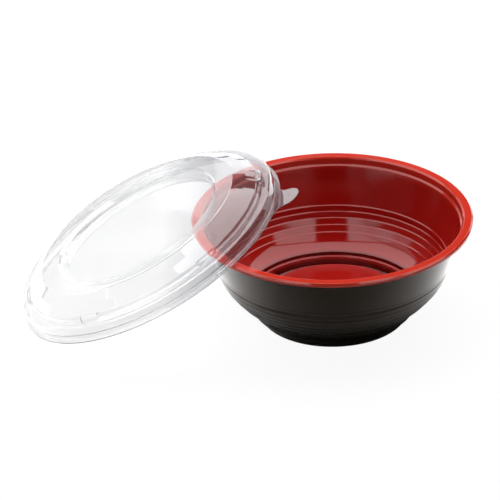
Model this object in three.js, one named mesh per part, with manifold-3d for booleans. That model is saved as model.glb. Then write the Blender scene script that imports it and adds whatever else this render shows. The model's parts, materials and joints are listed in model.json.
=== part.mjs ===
// Takeout bowl with a clear lid leaning on its rim.
// Millimetres, +Z up. The bowl stands on z = 0 and the lid's lowest edge touches the same plane.
import * as THREE from 'three';
import { mergeVertices } from 'three/addons/utils/BufferGeometryUtils.js';
import Module from 'manifold-3d';

// Bowl: overall sizes, measured on its red face
const rimRadius = 92.5;
const bowlHeight = 71;
const layer = 0.5;
const bondGap = 0.05;

// Bowl: rim, from the cut edge of the lip to the top of the wall
const lipDrop = 2.6;
const rimWidth = 7;
const rimRounding = 0.8;
const collarHeight = 4.6;
const collarDraft = 0.4;
const ledgeWidth = 1.3;
const ledgeDrop = 1.1;

// Bowl: stepped belt on the belly arc, and the round knuckle under it
const beltRadius = 76.7;
const beltTop = 39.4;
const stepCount = 5;
const stepPitch = 4;
const treadWidth = 1;
const treadDrop = 0.3;
const bellyRadius = 36;
const bellyRise = 7.9;
const knuckleRadius = 17.2;
const knuckleSteps = 4;

// Bowl: stepped well in the bottom, foot ring and raised floor
const wellRadius = 57.2;
const wellHeight = 14;
const wellStep = 2.5;
const wellDraft = 0.6;
const wellLedge = 1.2;
const footTopRadius = 53.4;
const footTopHeight = 6.6;
const footRadius = 47.5;
const footFlat = 2.2;
const footRounding = 1.2;
const floorHeight = 11.2;
const floorDraft = 0.4;

// Lid: sheet and the fits to the bowl's rim
const lidSheet = 0.5;
const rimClearance = 0.8;
const snapUndercut = 1;

// Lid: flange, snap channel, dome, crest ring and sunk panel
const lidLip = 1.9;
const neckHeight = 3;
const channelHeight = 10.2;
const channelRounding = 0.9;
const domeStart = 11.2;
const domeShoulder = 13.6;
const crestHeight = 22.2;
const crestRadius = 73.3;
const crestRounding = 1.6;
const panelRadius = 57.7;
const panelSink = 6;
const panelDraft = 0.9;

// Lid: pull tab and the lugs that keep stacked lids apart
const tabLength = 15;
const tabBase = 32;
const tabTipRadius = 10;
const lugCount = 6;
const lugWidth = 13.5;
const lugReach = 2.8;
const lugFirst = 13;

// How the lid rests: tilted on the table, against the bowl's rim
const leanAngle = 27.5;
const leanOffset = 9;
const lidSpin = -10;
const restGap = 0.3;

const segments = 44;
const degrees = Math.PI / 180;
const point = (r, z) => new THREE.Vector2(r, z);

// Moves an open profile sideways by a distance, to the left of its direction, with mitred corners.
// An end on the axis stays on the axis.
function offsetPath(path, distance) {
  const side = (a, b) => point(a.y - b.y, b.x - a.x).normalize();
  return path.map((p, i) => {
    const before = i > 0 ? side(path[i - 1], p) : side(p, path[i + 1]);
    const after = i < path.length - 1 ? side(p, path[i + 1]) : before;
    const mitre = before.clone().add(after).multiplyScalar(1 / (1 + before.dot(after)));
    const moved = p.clone().addScaledVector(mitre, distance);
    if (p.x === 0) moved.x = 0;
    return moved;
  });
}

// Revolves the space between two profiles that run from a free edge to the axis.
function shellOfRevolution(face, back) {
  const outline = [...face].reverse().concat(back);
  const lathe = new THREE.LatheGeometry(outline, segments);
  lathe.rotateX(Math.PI / 2);
  return closedMesh(lathe);
}

// Welds a geometry into one closed surface with its faces outwards.
function closedMesh(source) {
  const bare = source.clone();
  bare.deleteAttribute('normal');
  bare.deleteAttribute('uv');
  const welded = mergeVertices(bare, 1e-4);
  const index = welded.getIndex().array;
  const kept = [];
  for (let i = 0; i < index.length; i += 3) {
    const [a, b, c] = [index[i], index[i + 1], index[i + 2]];
    if (a !== b && b !== c && c !== a) kept.push(a, b, c);
  }
  welded.setIndex(kept);
  if (signedVolume(welded) < 0) {
    for (let i = 0; i < kept.length; i += 3) [kept[i + 1], kept[i + 2]] = [kept[i + 2], kept[i + 1]];
    welded.setIndex(kept);
  }
  return welded;
}

function signedVolume(geometry) {
  const place = geometry.getAttribute('position');
  const index = geometry.getIndex().array;
  const corner = [0, 1, 2].map(() => new THREE.Vector3());
  let sum = 0;
  for (let i = 0; i < index.length; i += 3) {
    corner.forEach((v, k) => v.fromBufferAttribute(place, index[i + k]));
    sum += corner[0].dot(corner[1].clone().cross(corner[2])) / 6;
  }
  return sum;
}

// Bowl profile: the bond line between the red and the black layer, from the lip's cut edge to the axis.
const bellyCentre = point(beltRadius - Math.sqrt(bellyRadius ** 2 - bellyRise ** 2), beltTop + bellyRise);
const bellyAt = (z) => bellyCentre.x + Math.sqrt(bellyRadius ** 2 - (bellyCentre.y - z) ** 2);

// Points of an arc that bulges down and outwards from one point to the next, without its first point.
function bulge(from, to, radius, steps) {
  const half = to.clone().sub(from).multiplyScalar(0.5);
  const rise = Math.sqrt(radius ** 2 - half.lengthSq());
  const centre = from.clone().add(half).addScaledVector(point(half.y, -half.x).normalize(), rise);
  const first = from.clone().sub(centre).angle();
  const last = to.clone().sub(centre).angle();
  return Array.from({ length: steps }, (_, k) => {
    const turn = first + ((last - first) * (k + 1)) / steps;
    return point(centre.x + radius * Math.cos(turn), centre.y + radius * Math.sin(turn));
  });
}

function bowlLine() {
  const lip = rimRadius - layer;
  const top = bowlHeight - layer;
  const collar = rimRadius - rimWidth + layer;
  const ledge = top - collarHeight;
  const line = [
    point(lip, bowlHeight - lipDrop),
    point(lip, top - rimRounding),
    point(lip - rimRounding, top),
    point(collar + rimRounding, top),
    point(collar, top - rimRounding),
    point(collar - collarDraft, ledge),
    point(collar - collarDraft - ledgeWidth, ledge - ledgeDrop),
  ];
  // Each step of the belt is a narrow tread with its outer corner on the belly arc.
  for (let k = 0; k < stepCount; k++) {
    const height = beltTop - k * stepPitch;
    line.push(point(bellyAt(height), height), point(bellyAt(height) - treadWidth, height - treadDrop));
  }
  const wellEdge = point(wellRadius, wellHeight);
  line.push(...bulge(line.at(-1), wellEdge, knuckleRadius, knuckleSteps));
  const ledgeRadius = wellRadius - wellDraft;
  const ledgeHeight = wellHeight - wellStep;
  const footLine = footRadius - layer / 2;
  const footInside = footLine - footFlat + layer;
  line.push(
    point(ledgeRadius, ledgeHeight),
    point(ledgeRadius - wellLedge, ledgeHeight - treadDrop),
    point(footTopRadius, footTopHeight),
    point(footLine + footRounding * 1.7, footRounding * 1.9),
    point(footLine + footRounding * 0.85, footRounding * 0.6),
    point(footLine, layer),
    point(footInside, layer),
    point(footInside - floorDraft, floorHeight - layer),
    point(0, floorHeight - layer),
  );
  return line;
}

// Lid profile: the middle of the sheet, from the flange's cut edge to the axis.
const channelRadius = rimRadius + rimClearance + lidSheet / 2;
const neckRadius = rimRadius - snapUndercut + lidSheet / 2;
const lidRadius = channelRadius + lidSheet / 2 + lidLip;
const domeRadius = rimRadius - rimWidth - lidSheet / 2;

function lidLine() {
  const half = lidSheet / 2;
  const seat = channelHeight - half;
  const crest = crestHeight - half;
  const panel = crestHeight - panelSink - half;
  return [
    point(lidRadius, half),
    point(neckRadius + 0.6, half),
    point(neckRadius, half + 0.6),
    point(neckRadius, neckHeight),
    point(channelRadius, neckHeight + (channelRadius - neckRadius)),
    point(channelRadius, seat - channelRounding),
    point(channelRadius - channelRounding, seat),
    point(domeRadius + (domeStart - seat), seat),
    point(domeRadius, domeStart),
    point(domeRadius, domeShoulder),
    point((domeRadius + crestRadius) / 2, domeShoulder + (crest - domeShoulder) * 0.53),
    point(crestRadius, crest - crestRounding / 2),
    point(crestRadius - crestRounding, crest),
    point(panelRadius + crestRounding, crest - crestRounding / 4),
    point(panelRadius, crest - crestRounding),
    point(panelRadius - panelDraft, panel + crestRounding / 4),
    point(panelRadius - panelDraft - crestRounding / 2, panel),
    point(0, panel),
  ];
}

const wasm = await Module();
wasm.setup();

function solid(geometry) {
  const closed = closedMesh(geometry);
  return new wasm.Manifold(new wasm.Mesh({
    numProp: 3,
    vertProperties: Float32Array.from(closed.getAttribute('position').array),
    triVerts: Uint32Array.from(closed.getIndex().array),
  }));
}

function geometryOf(manifold) {
  const mesh = manifold.getMesh();
  const geometry = new THREE.BufferGeometry();
  const count = mesh.vertProperties.length / mesh.numProp;
  const place = new Float32Array(count * 3);
  for (let i = 0; i < count; i++) {
    for (let k = 0; k < 3; k++) place[i * 3 + k] = mesh.vertProperties[i * mesh.numProp + k];
  }
  geometry.setAttribute('position', new THREE.BufferAttribute(place, 3));
  geometry.setIndex(Array.from(mesh.triVerts));
  return geometry;
}

// Flat tongue with a round tip, growing out of the flange along +X.
function tabSolid() {
  const root = neckRadius + 1;
  const tipCentre = lidRadius + tabLength - tabTipRadius;
  const outline = new THREE.Shape();
  outline.moveTo(root, -tabBase / 2);
  outline.quadraticCurveTo(lidRadius, -tabTipRadius, tipCentre, -tabTipRadius);
  outline.absarc(tipCentre, 0, tabTipRadius, -Math.PI / 2, Math.PI / 2, false);
  outline.quadraticCurveTo(lidRadius, tabTipRadius, root, tabBase / 2);
  outline.closePath();
  return solid(new THREE.ExtrudeGeometry(outline, { depth: lidSheet, bevelEnabled: false, curveSegments: 8 }));
}

// One lug: a hollow block in the corner between the channel's top and the dome's foot.
// Its pocket opens to the inside of the lid, as in a formed sheet.
function lugSolid(shrink) {
  const inner = domeRadius - lidSheet - shrink;
  const outer = domeRadius + lidSheet / 2 + lugReach - shrink;
  const low = channelHeight - lidSheet - shrink;
  const high = domeShoulder + lidSheet / 2 - shrink;
  const section = new THREE.Shape([
    point(inner, low),
    point(outer + 0.4, low),
    point(outer, high - 0.4),
    point(outer - 0.4, high),
    point(inner, high),
  ]);
  const width = lugWidth - 2 * shrink;
  const block = new THREE.ExtrudeGeometry(section, { depth: width, bevelEnabled: false });
  block.translate(0, 0, -width / 2);
  block.rotateX(Math.PI / 2);
  return solid(block);
}

function lidSolid(line) {
  const sheet = solid(shellOfRevolution(offsetPath(line, lidSheet / 2), offsetPath(line, -lidSheet / 2)));
  let lid = sheet.add(tabSolid());
  for (let k = 0; k < lugCount; k++) {
    const turn = lugFirst + (k * 360) / lugCount;
    lid = lid.add(lugSolid(0).rotate([0, 0, turn]));
    lid = lid.subtract(lugSolid(lidSheet).rotate([0, 0, turn]));
  }
  return lid;
}

// Where the leaning lid stops: it slides along the table towards the bowl until its inside
// is one rest gap away from the rim. Distances are taken in the lid's own radius and height.
const lean = leanAngle * degrees;
const lidCentreHeight = lidRadius * Math.sin(lean);

function distanceToLine(p, line) {
  let least = Infinity;
  for (let i = 1; i < line.length; i++) {
    const along = line[i].clone().sub(line[i - 1]);
    const t = THREE.MathUtils.clamp(p.clone().sub(line[i - 1]).dot(along) / along.lengthSq(), 0, 1);
    least = Math.min(least, p.distanceTo(line[i - 1].clone().addScaledVector(along, t)));
  }
  return least;
}

function restingPlace(line) {
  const inside = offsetPath(line, lidSheet / 2);
  const axis = new THREE.Vector3(-Math.sin(lean), 0, Math.cos(lean));
  const gapAt = (x) => {
    const centre = new THREE.Vector3(x, leanOffset, lidCentreHeight);
    let least = Infinity;
    for (let turn = 90; turn <= 270; turn += 1.5) {
      for (const [r, z] of [[rimRadius - rimRounding, bowlHeight], [rimRadius, bowlHeight - rimRounding]]) {
        const rim = new THREE.Vector3(r * Math.cos(turn * degrees), r * Math.sin(turn * degrees), z).sub(centre);
        const height = rim.dot(axis);
        const radius = Math.sqrt(rim.lengthSq() - height ** 2);
        least = Math.min(least, distanceToLine(point(radius, height), inside));
      }
    }
    return least;
  };
  let clear = -(rimRadius + 2 * lidRadius);
  let step = 8;
  while (step > 0.01) {
    if (gapAt(clear + step) > restGap + step * 0.5) clear += step;
    else if (step <= 0.5 && gapAt(clear + step) > restGap) clear += step;
    else step /= 2;
  }
  return clear;
}

const finish = (colour, roughness, extra = {}) =>
  new THREE.MeshStandardMaterial({ color: colour, roughness, metalness: 0, ...extra });

function namedMesh(name, geometry, material) {
  geometry.computeVertexNormals();
  const mesh = new THREE.Mesh(geometry, material);
  mesh.name = name;
  return mesh;
}

const bond = bowlLine();
const liner = shellOfRevolution(offsetPath(bond, -layer), offsetPath(bond, -bondGap / 2));
const shell = shellOfRevolution(offsetPath(bond, bondGap / 2), offsetPath(bond, layer));
const lidProfile = lidLine();

const bowl = new THREE.Group();
bowl.name = 'bowl';
bowl.add(namedMesh('bowl_outer_layer', shell, finish('#1c1a19', 0.35)));
bowl.add(namedMesh('bowl_inner_layer', liner, finish('#a80f0c', 0.2)));

const lidMesh = namedMesh(
  'clear_lid',
  geometryOf(lidSolid(lidProfile)),
  finish('#eef1f3', 0.05, { transparent: true, opacity: 0.3 }),
);
lidMesh.rotation.z = lidSpin * degrees;
const lid = new THREE.Group();
lid.name = 'lid';
lid.rotation.y = -lean;
lid.position.set(restingPlace(lidProfile), leanOffset, lidCentreHeight);
lid.add(lidMesh);

// The frame's origin is the middle of the whole footprint, on the table.
const arrangement = new THREE.Group();
arrangement.name = 'arrangement';
arrangement.add(bowl, lid);
const footprint = new THREE.Box3().setFromObject(arrangement, true);
const middle = footprint.getCenter(new THREE.Vector3());
arrangement.position.set(-middle.x, -middle.y, 0);
console.log('bowl axis at', arrangement.position.x.toFixed(3), arrangement.position.y.toFixed(3));
console.log('lid centre from the bowl axis', lid.position.toArray().map((v) => v.toFixed(3)).join(' '));
console.log('lowest point', footprint.min.z.toFixed(3), 'highest point', footprint.max.z.toFixed(3));

const takeoutBowl = new THREE.Group();
takeoutBowl.name = 'takeout_bowl_with_lid';
takeoutBowl.add(arrangement);
export default takeoutBowl;
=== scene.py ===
# %% [markdown]
# # A takeout bowl with a clear lid
# The object is two formed plastic sheets. The bowl is a two-layer sheet, black outside and glossy red
# inside, and the lid is one clear sheet that leans on the bowl's rim. This script loads the measured
# solids as a fixed frame, makes finer sheets in the same places, and gives each one its finish.

# %% Load the measured solids
import json
import math

import bpy
import numpy as np
from mathutils import Matrix, Vector


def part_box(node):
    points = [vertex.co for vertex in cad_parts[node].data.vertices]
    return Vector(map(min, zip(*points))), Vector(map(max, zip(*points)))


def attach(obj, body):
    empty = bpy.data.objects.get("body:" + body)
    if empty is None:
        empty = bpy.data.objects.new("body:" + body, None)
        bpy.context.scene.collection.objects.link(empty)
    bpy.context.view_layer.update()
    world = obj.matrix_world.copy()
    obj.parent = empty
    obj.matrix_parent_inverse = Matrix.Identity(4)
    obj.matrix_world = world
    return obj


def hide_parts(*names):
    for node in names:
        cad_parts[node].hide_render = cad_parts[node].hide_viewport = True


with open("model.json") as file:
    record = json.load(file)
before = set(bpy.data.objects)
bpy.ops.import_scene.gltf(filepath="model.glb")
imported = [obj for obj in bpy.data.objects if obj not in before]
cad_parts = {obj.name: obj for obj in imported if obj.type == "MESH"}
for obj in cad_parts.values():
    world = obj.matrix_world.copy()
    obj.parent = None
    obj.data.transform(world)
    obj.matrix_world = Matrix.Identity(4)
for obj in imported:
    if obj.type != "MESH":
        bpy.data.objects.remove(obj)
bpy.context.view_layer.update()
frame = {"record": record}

# %% [markdown]
# ## Where things are
# The bowl's axis is the middle of its outer layer. The lid is tilted, so its place is read from the
# record: the stacking seat is the middle of the lid's sunk panel, and its axis is the lid's axis.
# Lengths below are in millimetres, as a drawing would give them, and MM turns them into metres.

# %% Axes of the bowl and of the lid
MM = 0.001
PANEL_HEIGHT = 16.2
LID_SPIN = math.radians(-10)

bowl_low, bowl_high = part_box("bowl_outer_layer")
bowl_foot = Vector(((bowl_low.x + bowl_high.x) / 2, (bowl_low.y + bowl_high.y) / 2, 0))
seat = next(m for m in frame["record"]["mounts"] if m["name"] == "stack_seat")
lid_axis = Vector(seat["axis"]).normalized()
lid_centre = Vector(seat["pos_m"]) - lid_axis * PANEL_HEIGHT * MM
lid_lean = math.atan2(-lid_axis.x, lid_axis.z)
print("bowl axis", bowl_foot[:2], "lid centre", lid_centre[:], "lean", round(math.degrees(lid_lean), 2))

# %% [markdown]
# ## Camera
# A long lens from about three metres keeps the ellipses of the rim and the lid nearly parallel. The
# camera looks down by 28 degrees, turned a little about its own axis.

# %% Camera
LENS = 360
LOOK_DOWN = math.radians(28.28)
ROLL = math.radians(-1.25)
DISTANCE = 3313.5 * MM
AIM_ACROSS = -54.49 * MM
AIM_UP = 41.84 * MM

forward = Vector((0, math.cos(LOOK_DOWN), -math.sin(LOOK_DOWN)))
upward = Vector((0, math.sin(LOOK_DOWN), math.cos(LOOK_DOWN)))
across = Vector((1, 0, 0))
aim = bowl_foot + across * AIM_ACROSS + upward * AIM_UP
right = across * math.cos(ROLL) + upward * math.sin(ROLL)
top = upward * math.cos(ROLL) - across * math.sin(ROLL)

lens = bpy.data.cameras.new("photo_camera")
lens.lens = LENS
lens.sensor_width = 36
camera = bpy.data.objects.new("photo_camera", lens)
bpy.context.scene.collection.objects.link(camera)
camera.matrix_world = Matrix.Translation(aim - forward * DISTANCE) @ Matrix(
    (right, top, -forward)).transposed().to_4x4()
bpy.context.scene.camera = camera
print("camera at", [round(v, 3) for v in camera.location])

# %% [markdown]
# ## One way to write nodes
# Shaders and Geometry Nodes are both graphs of sockets. Writing them as expressions keeps them
# readable: Wire wraps a socket, and adding or multiplying wires adds Math nodes. Graph.node makes any
# other node from its type, its settings and the values or wires of its sockets.

# %% Node helpers
class Wire:
    """One output socket. Arithmetic on it adds Math nodes to its graph."""

    def __init__(self, graph, socket):
        self.graph, self.socket = graph, socket

    def math(self, operation, *others):
        return self.graph.node("ShaderNodeMath", {"operation": operation}, [self, *others])

    def __add__(self, other):
        return self.math("ADD", other)

    def __sub__(self, other):
        return self.math("SUBTRACT", other)

    def __mul__(self, other):
        return self.math("MULTIPLY", other)

    def __truediv__(self, other):
        return self.math("DIVIDE", other)

    def __rsub__(self, other):
        return self.graph.node("ShaderNodeMath", {"operation": "SUBTRACT"}, [other, self])

    __radd__ = __add__
    __rmul__ = __mul__


class Graph:
    """A node tree that is filled by expressions."""

    def __init__(self, tree):
        self.tree = tree

    def node(self, kind, settings=None, inputs=(), output=0):
        made = self.tree.nodes.new(kind)
        for name, value in (settings or {}).items():
            if name == "stops":
                ramp = made.color_ramp.elements
                while len(ramp) < len(value):
                    ramp.new(0.5)
                for stop, (place, colour) in zip(ramp, value):
                    stop.position, stop.color = place, (*colour, 1)
            else:
                setattr(made, name, value)
        pairs = inputs.items() if isinstance(inputs, dict) else enumerate(inputs)
        for key, value in pairs:
            if isinstance(value, Wire):
                self.tree.links.new(value.socket, made.inputs[key])
            else:
                made.inputs[key].default_value = value
        return Wire(self, made.outputs[output])

    def value(self, name, kind):
        """A named input of a node group."""
        self.tree.interface.new_socket(name, in_out="INPUT", socket_type=kind)
        source = self.tree.nodes.get("Sizes") or self.tree.nodes.new("NodeGroupInput")
        source.name = "Sizes"
        return Wire(self, source.outputs[name])


# %% [markdown]
# ## A formed sheet
# Both pieces are pressed from flat sheet, so each follows one rule: a profile turned about an axis.
# Spin would do it, but Geometry Nodes keep the rule visible. A grid has one row for each profile point
# and one column for each step around. Each grid point looks its profile point up by row number, and
# its column gives the angle. The lid bends the rule in two places, so the tree also takes a second
# profile for the lugs and a third for the pull tab, and blends to them by angle.

# %% The tree for a formed sheet
LUG_SIDE_IN, LUG_SIDE_OUT = 0.004, 0.006
SEAM = 1e-6


def lug_share(graph, angle, count, first, width):
    """1 on a lug, 0 between lugs, with short sloping sides. All its angles are in radians."""
    pitch = 2 * math.pi / count
    local = (angle - first + pitch / 2).math("FLOORED_MODULO", pitch) - pitch / 2
    settings = {"interpolation_type": "SMOOTHSTEP"}
    return graph.node("ShaderNodeMapRange", settings, {
        "Value": local.math("ABSOLUTE"),
        "From Min": width / 2 - LUG_SIDE_IN, "From Max": width / 2 + LUG_SIDE_OUT,
        "To Min": 1.0, "To Max": 0.0})


def tab_share(graph, angle, centre, tip, edge, length, spread):
    """How far the flange's edge reaches out, from 0 at the flange to 1 at the tip of the tab."""
    local = (angle + math.pi).math("FLOORED_MODULO", 2 * math.pi) - math.pi
    side = local.math("SINE") * centre
    inside = (tip * tip - side * side).math("MAXIMUM", 0.0)
    round_reach = local.math("COSINE") * centre + inside.math("SQRT")
    limit = math.asin(tip / centre)
    away = (local.math("ABSOLUTE") - limit) / (spread - limit)
    fade = 1.0 - away.math("MINIMUM", 1.0).math("MAXIMUM", 0.0)
    foot_reach = edge + (math.sqrt(centre ** 2 - tip ** 2) - edge) * fade * fade
    on_tip = away.math("LESS_THAN", 0.0)
    reach = round_reach * on_tip + foot_reach * (1.0 - on_tip)
    return ((reach - edge) / length).math("MAXIMUM", 0.0)


def formed_sheet_tree(name, features=None):
    """The tree that turns a profile about an axis. Features bend it to other profiles by angle."""
    tree = bpy.data.node_groups.new(name, "GeometryNodeTree")
    graph = Graph(tree)
    tree.interface.new_socket("Sheet", in_out="OUTPUT", socket_type="NodeSocketGeometry")
    profile = graph.value("Profile", "NodeSocketObject")
    columns = graph.value("Columns", "NodeSocketInt")
    place = graph.value("Place", "NodeSocketVector")
    turn = graph.value("Turn", "NodeSocketVector")
    finish = graph.value("Finish", "NodeSocketMaterial")

    def points_of(shape):
        return graph.node("GeometryNodeObjectInfo", None, {"Object": shape}, "Geometry")

    def look_up(shape, row):
        settings = {"data_type": "FLOAT_VECTOR", "domain": "POINT"}
        here = graph.node("GeometryNodeInputPosition")
        return graph.node("GeometryNodeSampleIndex", settings, {
            "Geometry": points_of(shape), "Value": here, "Index": row})

    rows = graph.node("GeometryNodeAttributeDomainSize", {"component": "MESH"}, [points_of(profile)])
    grid = graph.node("GeometryNodeMeshGrid", None, {"Vertices X": columns + 1, "Vertices Y": rows})
    index = graph.node("GeometryNodeInputIndex")
    column = ((index + 0.5) / rows).math("FLOOR")
    row = index - column * rows
    angle = column / columns * (2 * math.pi)
    where = look_up(profile, row)
    for title, share in (features or {}).items():
        other = look_up(graph.value(title, "NodeSocketObject"), row)
        amount = share(graph, angle)
        where = graph.node("ShaderNodeMix", {"data_type": "VECTOR"}, {0: amount, 4: where, 5: other}, 1)
    radius = graph.node("ShaderNodeSeparateXYZ", None, [where])
    height = graph.node("ShaderNodeSeparateXYZ", None, [where], 2)
    turned = graph.node("ShaderNodeCombineXYZ", None, [
        radius * angle.math("COSINE"), radius * angle.math("SINE"), height])
    sheet = graph.node("GeometryNodeSetPosition", None, {"Geometry": grid, "Position": turned})
    sheet = graph.node("GeometryNodeMergeByDistance", None, {"Geometry": sheet, "Distance": SEAM})
    sheet = graph.node("GeometryNodeSetShadeSmooth", None, {"Geometry": sheet})
    sheet = graph.node("GeometryNodeTransform", None, {
        "Geometry": sheet, "Translation": place, "Rotation": turn})
    sheet = graph.node("GeometryNodeRealizeInstances", None, [sheet])
    sheet = graph.node("GeometryNodeSetMaterial", None, {"Geometry": sheet, "Material": finish})
    end = tree.nodes.new("NodeGroupOutput")
    tree.links.new(sheet.socket, end.inputs[0])
    return tree


def formed_sheet(name, tree, **sizes):
    """Runs the tree on an empty object and keeps the result as a plain mesh at the origin."""
    seed = bpy.data.objects.new(name + "_seed", bpy.data.meshes.new(name + "_seed"))
    bpy.context.scene.collection.objects.link(seed)
    modifier = seed.modifiers.new("formed_sheet", "NODES")
    modifier.node_group = tree
    for socket in tree.interface.items_tree:
        if socket.in_out == "INPUT":
            modifier[socket.identifier] = sizes[socket.name.replace(" ", "_").lower()]
    evaluated = seed.evaluated_get(bpy.context.evaluated_depsgraph_get())
    mesh = bpy.data.meshes.new_from_object(evaluated)
    seed.modifiers.remove(modifier)
    bpy.data.objects.remove(seed)
    mesh.name = name
    piece = bpy.data.objects.new(name, mesh)
    bpy.context.scene.collection.objects.link(piece)
    return piece


# %% [markdown]
# ## Profiles
# A pressed sheet has no sharp corners. Each profile starts as a few corners in radius and height, and
# a short curve replaces every corner, with a guard point on each side so that flat walls stay flat
# when they are shaded smooth. The two faces of a sheet are the same line, moved sideways.

# %% Profile helpers
GUARD, GUARD_SHARE = 0.4, 0.08
LEAST_CURVE, MOST_CURVE = 0.04, 0.4


def offset_path(corners, distance):
    """The corners moved to the left of the path. A point on the axis stays on it."""
    points = np.array(corners, float)
    steps = np.diff(points, axis=0)
    sides = np.stack([-steps[:, 1], steps[:, 0]], 1) / np.linalg.norm(steps, axis=1)[:, None]
    before = np.vstack([sides[:1], sides])
    after = np.vstack([sides, sides[-1:]])
    mitre = (before + after) / (1 + (before * after).sum(1))[:, None]
    moved = points + mitre * distance
    moved[points[:, 0] == 0, 0] = 0
    return moved


def rounded(corners, radius, steps, smallest=0.0):
    """The path with a short curve at each corner that bends by more than the smallest angle.

    The shorter side at a corner sets how far its curve and its guard points may reach.
    """
    points = np.array(corners, float)
    path = [points[0]]
    for i in range(1, len(points) - 1):
        back, on = points[i - 1] - points[i], points[i + 1] - points[i]
        room = min(np.linalg.norm(back), np.linalg.norm(on))
        back, on = back / np.linalg.norm(back), on / np.linalg.norm(on)
        bend = math.acos(max(-1, min(1, -back @ on)))
        if bend < smallest:
            path.append(points[i])
            continue
        reach = min(max(radius * math.tan(bend / 2), LEAST_CURVE * room), MOST_CURVE * room)
        guard = min(GUARD, GUARD_SHARE * room)
        start, end = points[i] + back * reach, points[i] + on * reach
        path.append(start + back * guard)
        for t in np.linspace(0, 1, steps + 1):
            path.append((1 - t) ** 2 * start + 2 * t * (1 - t) * points[i] + t ** 2 * end)
        path.append(end + on * guard)
    path.append(points[-1])
    return path


def profile_object(name, path):
    """A wire of points in the XZ plane, in metres, for the tree to look up."""
    mesh = bpy.data.meshes.new(name)
    mesh.from_pydata([(r * MM, 0, z * MM) for r, z in path],
                     [(i, i + 1) for i in range(len(path) - 1)], [])
    wire = bpy.data.objects.new(name, mesh)
    bpy.context.scene.collection.objects.link(wire)
    return wire


def facing_out(piece):
    """Turns the faces of a closed mesh outwards, and prints its volume and its open edges."""
    mesh = piece.data
    mesh.calc_loop_triangles()
    total = 0.0
    for triangle in mesh.loop_triangles:
        a, b, c = (mesh.vertices[v].co for v in triangle.vertices)
        total += a.dot(b.cross(c)) / 6
    if total < 0:
        mesh.flip_normals()
    open_edges = len(mesh.edges) * 2 - sum(len(p.vertices) for p in mesh.polygons)
    millilitres = round(abs(total) * 1e6, 2)
    print(piece.name, len(mesh.loop_triangles), "triangles,", millilitres, "ml, open edges", open_edges)
    return piece


# %% [markdown]
# ## Bowl: the bond line
# The red and the black layer meet on one line, from the cut edge of the lip, over the rim, down the
# wall with its stepped belt, round the knuckle to the stepped well, round the foot ring and up to the
# raised floor. Each layer is the space between that line and the same line moved by its thickness.

# %% Bowl sizes and its bond line
RIM_RADIUS, BOWL_HEIGHT, LAYER, BOND_GAP = 92.5, 71.0, 0.5, 0.05
LIP_DROP, RIM_WIDTH, RIM_ROUNDING = 2.6, 7.0, 0.8
COLLAR_HEIGHT, COLLAR_DRAFT, LEDGE_WIDTH, LEDGE_DROP = 4.6, 0.4, 1.3, 1.1
BELT_RADIUS, BELT_TOP = 76.7, 39.4
STEP_COUNT, STEP_PITCH, TREAD_WIDTH, TREAD_DROP = 5, 4.0, 0.7, 0.3
BELLY_RADIUS, BELLY_RISE = 36.0, 7.9
KNUCKLE_RADIUS, KNUCKLE_STEPS = 22.0, 12
WELL_RADIUS, WELL_HEIGHT, WELL_STEP, WELL_DRAFT, WELL_LEDGE = 57.2, 14.0, 2.5, 0.6, 1.2
FOOT_TOP = (53.4, 6.6)
FOOT_RADIUS, FOOT_FLAT, FOOT_ROUNDING = 47.5, 2.2, 1.2
FOOT_CURVE = ((1.7, 1.9), (0.85, 0.6))
FLOOR_HEIGHT, FLOOR_DRAFT = 11.2, 0.4

belly_centre = BELT_RADIUS - math.sqrt(BELLY_RADIUS ** 2 - BELLY_RISE ** 2)


def belly_at(height):
    """Radius of the belly, an arc whose widest place is a little above the belt."""
    return belly_centre + math.sqrt(BELLY_RADIUS ** 2 - (BELT_TOP + BELLY_RISE - height) ** 2)


def knuckle(start, end):
    """Points of the arc that bulges down and outwards from start to end, without its first point."""
    start, end = np.array(start), np.array(end)
    half = (end - start) / 2
    side = np.array((half[1], -half[0])) / np.linalg.norm(half)
    centre = start + half + side * math.sqrt(KNUCKLE_RADIUS ** 2 - half @ half)
    first, last = (math.atan2(*(p - centre)[::-1]) for p in (start, end))
    turns = np.linspace(first, last, KNUCKLE_STEPS + 1)[1:]
    return [(centre[0] + KNUCKLE_RADIUS * math.cos(t), centre[1] + KNUCKLE_RADIUS * math.sin(t))
            for t in turns]


def bond_line():
    """Corners from the lip to the middle of the floor. The foot's curve counts in its rounding."""
    lip, rim_top = RIM_RADIUS - LAYER, BOWL_HEIGHT - LAYER
    collar = RIM_RADIUS - RIM_WIDTH + LAYER
    ledge = rim_top - COLLAR_HEIGHT
    line = [
        (lip, BOWL_HEIGHT - LIP_DROP), (lip, rim_top - RIM_ROUNDING), (lip - RIM_ROUNDING, rim_top),
        (collar + RIM_ROUNDING, rim_top), (collar, rim_top - RIM_ROUNDING),
        (collar - COLLAR_DRAFT, ledge), (collar - COLLAR_DRAFT - LEDGE_WIDTH, ledge - LEDGE_DROP)]
    for k in range(STEP_COUNT):
        height = BELT_TOP - k * STEP_PITCH
        line += [(belly_at(height), height), (belly_at(height) - TREAD_WIDTH, height - TREAD_DROP)]
    line += knuckle(line[-1], (WELL_RADIUS, WELL_HEIGHT))
    well_ledge, well_ledge_height = WELL_RADIUS - WELL_DRAFT, WELL_HEIGHT - WELL_STEP
    foot = FOOT_RADIUS - LAYER / 2
    inside = foot - FOOT_FLAT + LAYER
    foot_curve = [(foot + FOOT_ROUNDING * out, FOOT_ROUNDING * up) for out, up in FOOT_CURVE]
    line += [
        (well_ledge, well_ledge_height), (well_ledge - WELL_LEDGE, well_ledge_height - TREAD_DROP),
        FOOT_TOP, *foot_curve, (foot, LAYER), (inside, LAYER),
        (inside - FLOOR_DRAFT, FLOOR_HEIGHT - LAYER), (0, FLOOR_HEIGHT - LAYER)]
    return line


bond = bond_line()
print("bond line:", len(bond), "corners, rim", RIM_RADIUS * 2, "mm across")

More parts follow.
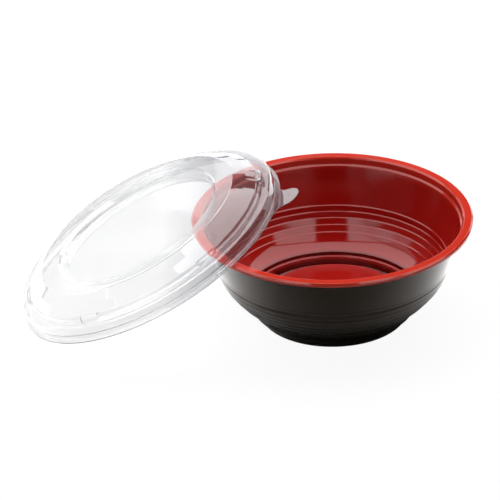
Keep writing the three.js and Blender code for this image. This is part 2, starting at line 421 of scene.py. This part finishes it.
# %% [markdown]
# ## Finishes
# On a real pressed sheet the gloss isn't perfect: pressing leaves slow waves that bend the reflections,
# and a faint haze. Pictures could carry these, but noise on Object coordinates needs no unwrapping and
# has no seams.

# %% Finish helpers
LONG_UPRIGHT = (1, 1, 0.35)


def new_finish(name):
    """An empty material and the graph that fills it."""
    material = bpy.data.materials.new(name)
    material.use_nodes = True
    material.node_tree.nodes.clear()
    return material, Graph(material.node_tree)


def along_axis(graph, axis):
    """Place along the X, Y or Z axis, in metres."""
    spot = graph.node("ShaderNodeTexCoord", None, (), "Object")
    return graph.node("ShaderNodeSeparateXYZ", None, [spot], "XYZ".index(axis))


def share_between(graph, value, start, end):
    """0 where the value is at the start or before it, 1 where it is at the end or beyond."""
    return graph.node("ShaderNodeMapRange", None, {"Value": value, "From Min": start, "From Max": end})


def noise(graph, size, detail=2.0, stretch=(1, 1, 1)):
    """Noise whose blotches are about as large as size, in millimetres."""
    spot = graph.node("ShaderNodeTexCoord", None, (), "Object")
    spot = graph.node("ShaderNodeVectorMath", {"operation": "MULTIPLY"}, [spot, stretch])
    return graph.node("ShaderNodeTexNoise", None, {
        "Vector": spot, "Scale": 1 / (size * MM), "Detail": detail, "Roughness": 0.5})


def blend_colours(graph, share, first, second):
    return graph.node("ShaderNodeMix", {"data_type": "RGBA"}, {
        0: share, 6: (*first, 1), 7: (*second, 1)}, 2)


def bumped(graph, height, depth, strength):
    return graph.node("ShaderNodeBump", None, {
        "Strength": strength, "Distance": depth * MM, "Height": height})


def show(graph, shader):
    end = graph.tree.nodes.new("ShaderNodeOutputMaterial")
    graph.tree.links.new(shader.socket, end.inputs["Surface"])


# %% [markdown]
# ## Red plastic
# The inside of the bowl is a smooth, glossy red, with light and shade painted into its colour by height:
# the rim is painted brightest, as lit from above, the wall and the floor are deeper, and the folds of the
# well around the floor are painted darkest, as shade. A colour ramp over the height makes these rings, and
# a little noise keeps their borders from being too exact.

# %% Finish of the red layer
# The rim's colour is painted light and the fold's colour is painted shade; the wall and floor are the
# plastic's red.
RED_RIM_PAINTED_LIGHT = (0.66, 0.034, 0.016)
RED_WALL = (0.39, 0.009, 0.006)
RED_FLOOR = (0.36, 0.008, 0.005)
RED_FOLD_PAINTED_SHADE = (0.13, 0.003, 0.002)
RED_WITH_PAINTED_LIGHT_BY_HEIGHT = [
    (0.140, RED_FOLD_PAINTED_SHADE), (0.150, RED_FLOOR), (0.172, RED_FLOOR), (0.180, RED_FOLD_PAINTED_SHADE),
    (0.200, RED_FOLD_PAINTED_SHADE), (0.220, RED_WALL), (0.880, RED_WALL), (0.960, RED_RIM_PAINTED_LIGHT)]
BORDER_DRIFT = 0.005

red_plastic, graph = new_finish("red_plastic")
height = along_axis(graph, "Z") / (BOWL_HEIGHT * MM)
uneven = height + noise(graph, size=40) * BORDER_DRIFT
waves = noise(graph, size=26, detail=1.0, stretch=LONG_UPRIGHT)
haze = noise(graph, size=9)
show(graph, graph.node("ShaderNodeBsdfPrincipled", None, {
    "Base Color": graph.node("ShaderNodeValToRGB", {"stops": RED_WITH_PAINTED_LIGHT_BY_HEIGHT}, [uneven]),
    "Roughness": 0.07 + haze * 0.06,
    "IOR": 1.49,
    "Normal": bumped(graph, waves, depth=0.5, strength=0.2)}))
print("red plastic:", len(graph.tree.nodes), "nodes")

# %% [markdown]
# ## Bowl: the red layer
# The visible face lies half a millimetre inside the bond line. Its corners are rounded a little, so the
# treads of the stepped belt catch the light as thin bright lines. The knuckle is already a smooth arc,
# so its small bends are left as they are.

# %% Red inner layer
CORNER, CORNER_STEPS, SMALL_BEND = 0.5, 4, math.radians(8)
BOWL_COLUMNS = 192
sheet_tree = formed_sheet_tree("formed_sheet")


def bowl_layer(name, inner, outer, finish):
    """One layer of the bowl's sheet, between two distances from the bond line."""
    face, back = offset_path(bond, inner), offset_path(bond, outer)
    path = rounded([*face[::-1], *back], CORNER, CORNER_STEPS, SMALL_BEND)
    wire = profile_object(name + "_profile", path)
    layer = facing_out(formed_sheet(
        name, sheet_tree, profile=wire, columns=BOWL_COLUMNS, place=bowl_foot[:], turn=(0, 0, 0),
        finish=finish))
    bpy.data.objects.remove(wire)
    return layer


red_layer = bowl_layer("bowl_red_layer", -LAYER, -BOND_GAP / 2, red_plastic)
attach(red_layer, "bowl")
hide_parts("bowl_inner_layer")

# %% [markdown]
# ## Black plastic
# The outside is the same sheet's black face, a little less glossy and a little warm. At a grazing angle
# it mirrors the white table, which is why the bowl's sides turn pale grey. Its steps look softer than the
# red ones but show as even bands, so ribs at their pitch, made by a bump, tilt the reflections there.

# %% Finish of the black layer
BLACK_THICK = (0.0110, 0.0058, 0.0014)
BLACK_THIN = (0.0140, 0.0082, 0.0030)
WARM_GLOSS = (1, 0.88, 0.76, 1)
RIB_FADE, RIB_SHARE = 2.0, 4.0

black_plastic, graph = new_finish("black_plastic")
height = along_axis(graph, "Z") / MM
on_belt = share_between(graph, height, BELT_TOP + RIB_FADE, BELT_TOP)
ribs = ((height - BELT_TOP) * (2 * math.pi / STEP_PITCH)).math("SINE") * on_belt
waves = noise(graph, size=24, detail=1.0, stretch=LONG_UPRIGHT)
haze = noise(graph, size=9)
show(graph, graph.node("ShaderNodeBsdfPrincipled", None, {
    "Base Color": blend_colours(graph, noise(graph, size=40), BLACK_THICK, BLACK_THIN),
    "Roughness": 0.13 + haze * 0.08,
    "IOR": 1.36,
    "Specular Tint": WARM_GLOSS,
    "Normal": bumped(graph, waves + ribs * RIB_SHARE, depth=0.5, strength=0.15)}))
print("black plastic:", len(graph.tree.nodes), "nodes")

# %% [markdown]
# ## Bowl: the black layer
# The outer layer lies on the other side of the bond line. The same helper makes it, so that the two
# layers follow each other everywhere, with a hair's gap where the real ones are bonded.

# %% Black outer layer
black_layer = bowl_layer("bowl_black_layer", BOND_GAP / 2, LAYER, black_plastic)
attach(black_layer, "bowl")
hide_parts("bowl_outer_layer")

# %% [markdown]
# ## Clear plastic
# The lid is a thin clear sheet. It is real glass to the renderer: it mirrors at its two faces and bends
# light at its edges. Glass would cast a dark shadow, so for rays from lamps it is simply see-through.
# The end that leans on the bowl looks greyer, so a painted shade deepens the tint towards the tab.

# %% Finish of the lid
# The darker tint at the tab end is painted shade; the sheet itself is clear all over.
CLEAR = (0.855, 0.857, 0.861)
CLEAR_WITH_PAINTED_SHADE = (0.56, 0.56, 0.585)
PAINTED_SHADE_FROM, PAINTED_SHADE_TO = -55.0, -20.0
LET_THROUGH = (0.4, 0.4, 0.41, 1)

clear_plastic, graph = new_finish("clear_plastic")
painted_shade_towards_tab = share_between(graph, along_axis(graph, "X"), PAINTED_SHADE_FROM * MM, PAINTED_SHADE_TO * MM)
haze = noise(graph, size=30)
waves = noise(graph, size=34, detail=1.0)
sheet = graph.node("ShaderNodeBsdfPrincipled", None, {
    "Base Color": blend_colours(graph, painted_shade_towards_tab, CLEAR, CLEAR_WITH_PAINTED_SHADE),
    "Roughness": 0.02 + haze * 0.03,
    "IOR": 1.58,
    "Transmission Weight": 1.0,
    "Normal": bumped(graph, waves, depth=0.5, strength=0.12)})
open_way = graph.node("ShaderNodeBsdfTransparent", None, [LET_THROUGH])
lamp_ray = graph.node("ShaderNodeLightPath", None, (), "Is Shadow Ray")
show(graph, graph.node("ShaderNodeMixShader", None, [lamp_ray, sheet, open_way]))
print("clear plastic:", len(graph.tree.nodes), "nodes")

# %% [markdown]
# ## Lid
# From the cut edge inwards: a flat flange, a neck that snaps under the bowl's rim, a channel that takes
# the rim, the dome, the crest ring, and the sunk panel that the next bowl's foot stands in. The lug
# profile pushes the dome's foot outwards, and the tab profile draws the flange's edge out.

# %% Lid sizes and profiles
LID_SHEET, RIM_CLEARANCE, SNAP_UNDERCUT, LID_LIP = 0.5, 0.8, 1.0, 1.9
NECK_HEIGHT, CHANNEL_HEIGHT, CHANNEL_ROUNDING = 3.0, 10.2, 0.9
DOME_START, DOME_SHOULDER = 11.2, 13.6
CREST_HEIGHT, CREST_RADIUS, CREST_ROUNDING = 22.2, 73.3, 1.6
PANEL_RADIUS, PANEL_DRAFT = 57.7, 0.9
TAB_LENGTH, TAB_TIP, TAB_SPREAD = 15.0, 10.0, math.radians(9.3)
LUG_COUNT, LUG_WIDTH, LUG_REACH, LUG_FIRST = 6, 13.5, 2.8, math.radians(13)
LUG_DRAFT, LUG_RISE = 0.2, 0.1
NECK_BEND, SHOULDER_STEP, SHOULDER_RISE, DOME_SWELL = 0.6, 0.6, 0.4, 0.53
LID_CORNER, LID_CORNER_STEPS = 0.8, 2

half = LID_SHEET / 2
channel = RIM_RADIUS + RIM_CLEARANCE + half
neck = RIM_RADIUS - SNAP_UNDERCUT + half
lid_edge = channel + half + LID_LIP
dome = RIM_RADIUS - RIM_WIDTH - half


def lid_line(edge_reach=0.0, lug_reach=0.0):
    """Middle of the lid's sheet. Every version has the same corners, so they can be blended."""
    seat_top, crest, panel = CHANNEL_HEIGHT - half, CREST_HEIGHT - half, PANEL_HEIGHT - half
    lug_foot = dome + lug_reach + (LUG_DRAFT if lug_reach else DOME_START - seat_top)
    return [
        (lid_edge + edge_reach, half), (neck + NECK_BEND, half), (neck, half + NECK_BEND),
        (neck, NECK_HEIGHT),
        (channel, NECK_HEIGHT + channel - neck), (channel, seat_top - CHANNEL_ROUNDING),
        (channel - CHANNEL_ROUNDING, seat_top), (lug_foot, seat_top),
        (dome + lug_reach, DOME_START),
        (dome + lug_reach - (LUG_DRAFT if lug_reach else 0), DOME_SHOULDER),
        (dome - SHOULDER_STEP, DOME_SHOULDER + (LUG_RISE if lug_reach else SHOULDER_RISE)),
        ((dome + CREST_RADIUS) / 2, DOME_SHOULDER + (crest - DOME_SHOULDER) * DOME_SWELL),
        (CREST_RADIUS, crest - CREST_ROUNDING / 2), (CREST_RADIUS - CREST_ROUNDING, crest),
        (PANEL_RADIUS + CREST_ROUNDING, crest - CREST_ROUNDING / 4),
        (PANEL_RADIUS, crest - CREST_ROUNDING),
        (PANEL_RADIUS - PANEL_DRAFT, panel + CREST_ROUNDING / 4),
        (PANEL_RADIUS - PANEL_DRAFT - CREST_ROUNDING / 2, panel), (0, panel)]


def lid_profile(name, line):
    """Both faces of the lid's sheet, half its thickness to each side of the line."""
    face, back = offset_path(line, half), offset_path(line, -half)
    return profile_object(name, rounded([*face[::-1], *back], LID_CORNER, LID_CORNER_STEPS))


wires = [lid_profile("lid_profile", lid_line()),
         lid_profile("lug_profile", lid_line(lug_reach=LUG_REACH)),
         lid_profile("tab_profile", lid_line(edge_reach=TAB_LENGTH))]
print("lid profile:", len(wires[0].data.vertices), "points, flange", lid_edge * 2, "mm across")

# %% [markdown]
# ## Lid: the clear sheet
# The lid uses the same rule as the bowl, with the two further profiles blended in by angle. It needs
# more columns than the bowl, since the sides of the lugs are short. It is turned about its own axis
# first, which brings the tab to its place, and then tilted.

# %% Clear lid
LID_COLUMNS = 540
lid_tree = formed_sheet_tree("formed_lid", {
    "Lug Profile": lambda graph, angle: lug_share(graph, angle, LUG_COUNT, LUG_FIRST, LUG_WIDTH / dome),
    "Tab Profile": lambda graph, angle: tab_share(
        graph, angle, lid_edge + TAB_LENGTH - TAB_TIP, TAB_TIP, lid_edge, TAB_LENGTH, TAB_SPREAD)})
lid_turn = (Matrix.Rotation(-lid_lean, 3, "Y") @ Matrix.Rotation(LID_SPIN, 3, "Z")).to_euler()
clear_lid = facing_out(formed_sheet(
    "clear_lid_sheet", lid_tree, profile=wires[0], lug_profile=wires[1], tab_profile=wires[2],
    columns=LID_COLUMNS, place=lid_centre[:], turn=lid_turn[:], finish=clear_plastic))
for wire in wires:
    bpy.data.objects.remove(wire)
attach(clear_lid, "lid")
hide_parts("clear_lid")

# %% [markdown]
# ## Table
# The object stands on a white table, which still takes a soft shadow. To the camera the table is mostly
# a plain white glow, so the shadow stays faint. See-through rays meet more of the paint, and mirrored
# rays all of it. These also meet painted light: a glow beside and behind the bowl, where the light comes
# from, which ends before the bowl, and a faint ring of it under the belly, for the black sides to mirror.

# %% Table
WHITE = (1, 1, 1, 1)
PAINT = (0.6, 0.6, 0.6, 1)
WHITE_GLOW, CAMERA_SHARE, THROUGH_SHARE = 1.1, 0.85, 0.6
PAINTED_BACK_GLOW, PAINTED_RING_GLOW = 1.9, 0.15
GLOW_FRONT, GLOW_FULL = -120.0, 0.0
RING_START, RING_FULL = 60.0, 72.0
BESIDE_START, BESIDE_FULL = 75.0, 98.0
TABLE_RADIUS = 6


def ray_kind(graph, name):
    """1 for rays of that kind, 0 for others."""
    return graph.node("ShaderNodeLightPath", None, (), name)


def glow(graph, colour, strength=1.0):
    return graph.node("ShaderNodeEmission", None, {"Color": colour, "Strength": strength})


table_white, graph = new_finish("table_white")
through = ray_kind(graph, "Is Transmission Ray")
mirrored = ray_kind(graph, "Is Glossy Ray") * (1.0 - through)
spot = graph.node("ShaderNodeTexCoord", None, (), "Object")
from_bowl = graph.node("ShaderNodeVectorMath", {"operation": "DISTANCE"}, [spot, bowl_foot[:]], "Value")
towards_back = share_between(graph, along_axis(graph, "Y"), GLOW_FRONT * MM, GLOW_FULL * MM)
beside_bowl = share_between(graph, from_bowl, BESIDE_START * MM, BESIDE_FULL * MM)
under_belly = share_between(graph, from_bowl, RING_START * MM, RING_FULL * MM)
# Painted light: the table glows for mirrored rays beside and behind the bowl, and in a faint ring under
# the belly.
around = towards_back * beside_bowl * PAINTED_BACK_GLOW
under = under_belly * (1.0 - beside_bowl) * PAINTED_RING_GLOW
paint = graph.node("ShaderNodeBsdfDiffuse", None, [PAINT])
share = ray_kind(graph, "Is Camera Ray") * CAMERA_SHARE + through * THROUGH_SHARE
surface = graph.node("ShaderNodeMixShader", None, [share, paint, glow(graph, WHITE, WHITE_GLOW)])
show(graph, graph.node("ShaderNodeAddShader", None, [
    surface, glow(graph, mirrored * (around + under))]))

bpy.ops.mesh.primitive_circle_add(
    vertices=64, radius=TABLE_RADIUS, fill_type="NGON", location=(0, 0, 0))
table = bpy.context.object
table.name = "white_table"
table.data.materials.append(table_white)
print("table:", len(graph.tree.nodes), "nodes")

# %% [markdown]
# ## World
# The world lights the object only a little. To the camera and through the lid it is white, as the paper
# behind a product is. Reflections would find it white too, but a dark room covers it there.

# %% White room
ROOM_LIGHT = 0.06

world = bpy.data.worlds.new("white_room")
bpy.context.scene.world = world
world.use_nodes = True
graph = Graph(world.node_tree)
world.node_tree.nodes.clear()
seen = ray_kind(graph, "Is Camera Ray")
for kind in ("Is Glossy Ray", "Is Transmission Ray"):
    seen = seen + ray_kind(graph, kind)
level = ROOM_LIGHT + seen.math("MINIMUM", 1.0) * (1.0 - ROOM_LIGHT)
sky = graph.node("ShaderNodeBackground", None, {"Color": level, "Strength": 1.0})
end = world.node_tree.nodes.new("ShaderNodeOutputWorld")
world.node_tree.links.new(sky.socket, end.inputs["Surface"])
bpy.context.scene.view_settings.view_transform = "Standard"
print("room light:", ROOM_LIGHT)

# %% [markdown]
# ## Lamps
# Two lamps light the object: a large one overhead and a weak one high at the back. Both stand more to
# the back than to the front, which leaves the back wall of the bowl in shade.

# %% Lamps
def lamp(name, left, right, first, second, brightness, mirrored, swing=0, shown_in=None):
    """A flat lamp between two edges, each a depth and a height in metres from the bowl's foot.

    Seen from the +X side, it shines to the right of the way from the first edge to the second. Swing
    turns it about the bowl's axis, in degrees. Shown_in holds the only pieces that it reaches.
    """
    sideways, rise = Vector((1, 0, 0)), Vector((0, second[0] - first[0], second[1] - first[1]))
    width, length, along = right - left, rise.length, rise.normalized()
    light = bpy.data.lights.new(name, "AREA")
    light.shape, light.size, light.size_y = "RECTANGLE", width, length
    light.energy = brightness * math.pi * width * length
    lit = bpy.data.objects.new(name, light)
    place = Vector(((left + right) / 2, (first[0] + second[0]) / 2, (first[1] + second[1]) / 2))
    turn = Matrix((sideways, along, sideways.cross(along))).transposed().to_4x4()
    around = Matrix.Translation(bowl_foot) @ Matrix.Rotation(math.radians(swing), 4, "Z")
    lit.matrix_world = around @ Matrix.Translation(place) @ turn
    lit.visible_camera = False
    lit.visible_glossy = lit.visible_transmission = mirrored
    lit.visible_diffuse = not mirrored
    if shown_in:
        lit.light_linking.receiver_collection = shown_in
    bpy.context.scene.collection.objects.link(lit)


lamp("top_light", -1.2, 1.2, (-0.15, 1.25), (1.1, 1.25), 2.8, mirrored=False)
lamp("back_light", -1.4, 1.4, (0.55, 1.25), (1.35, 0.75), 0.8, mirrored=False)

# %% [markdown]
# ## Panels
# The panels light nothing and only show as reflections. The bowl mirrors one wide panel overhead, and the
# lid a ceiling of its own, in a dim and a bright half, because one panel's edge would cut across its dome.
# Both mirror two panels that lean in front, with a gap for the camera between them, a low and a high row
# at the back, and one at the left.

# %% Panels
CEILING, CEILING_REACH, CEILING_SPLIT = 1.2, 1.8, -0.55
CAMERA_GAP, FRONT_LOW, FRONT_HIGH = 0.27, (-1.0, 0.2), (-0.47, 1.15)
BACK_SPLIT, BACK_GAP = -0.8, 0.32
BACK_TOP, BACK_MIDDLE, BACK_LOW = (1.5, 1.15), (1.6, 0.8), (1.6, 0.1)
LEFT_WALL = 1.75


def set_of(name, *pieces):
    """A collection that names the only pieces a panel shows in."""
    group = bpy.data.collections.new(name)
    for piece in pieces:
        group.objects.link(piece)
    return group


def panel(name, left, right, first, second, brightness, **options):
    """A lamp that only shows as a reflection."""
    lamp(name, left, right, first, second, brightness, mirrored=True, **options)


bowl_only = set_of("bowl_only", red_layer, black_layer)
lid_only = set_of("lid_only", clear_lid)
lid_front, lid_back = (-1.5, CEILING), (1.4, CEILING)
panel("overhead_panel", -CEILING_REACH, CEILING_REACH, (-0.40, CEILING), (1.1, CEILING), 2.5,
      shown_in=bowl_only)
panel("lid_ceiling_left", -CEILING_REACH, CEILING_SPLIT, lid_front, lid_back, 1.25, shown_in=lid_only)
panel("lid_ceiling_right", CEILING_SPLIT, CEILING_REACH, lid_front, lid_back, 3.6, shown_in=lid_only)
panel("front_left_panel", -1.75, -CAMERA_GAP, FRONT_LOW, FRONT_HIGH, 2.4)
panel("front_right_panel", CAMERA_GAP, 1.5, FRONT_LOW, FRONT_HIGH, 2.4)
panel("back_right_panel", BACK_SPLIT, BACK_GAP, BACK_MIDDLE, BACK_LOW, 1.9)
panel("high_left_panel", BACK_SPLIT, -BACK_GAP, BACK_TOP, BACK_MIDDLE, 2.2)
panel("high_right_panel", BACK_GAP, 1.6, BACK_TOP, BACK_LOW, 2.2)
panel("back_left_panel", -CEILING_REACH, BACK_SPLIT, BACK_MIDDLE, BACK_LOW, 1.0)
panel("left_panel", -1.5, 1.6, (LEFT_WALL, CEILING), (LEFT_WALL, 0.0), 1.0, swing=90)

# %% [markdown]
# ## Dark room
# Around the panels the room is dark, so the reflections on the glossy sheet have clear edges. A black
# box that only reflections see does this, and the white background stays.

# %% Dark room
CARD = (0.004, 0.004, 0.004, 1)
ROOM_SIZE, ROOM_MIDDLE = 6, 2.9

card_black, graph = new_finish("card_black")
show(graph, graph.node("ShaderNodeBsdfDiffuse", None, [CARD]))

bpy.ops.mesh.primitive_cube_add(size=ROOM_SIZE, location=(0, 0, ROOM_MIDDLE))
dark_room = bpy.context.object
dark_room.name = "dark_room"
dark_room.data.materials.append(card_black)
dark_room.visible_camera = dark_room.visible_diffuse = False
dark_room.visible_transmission = dark_room.visible_shadow = False
print("dark room:", ROOM_SIZE, "m wide")
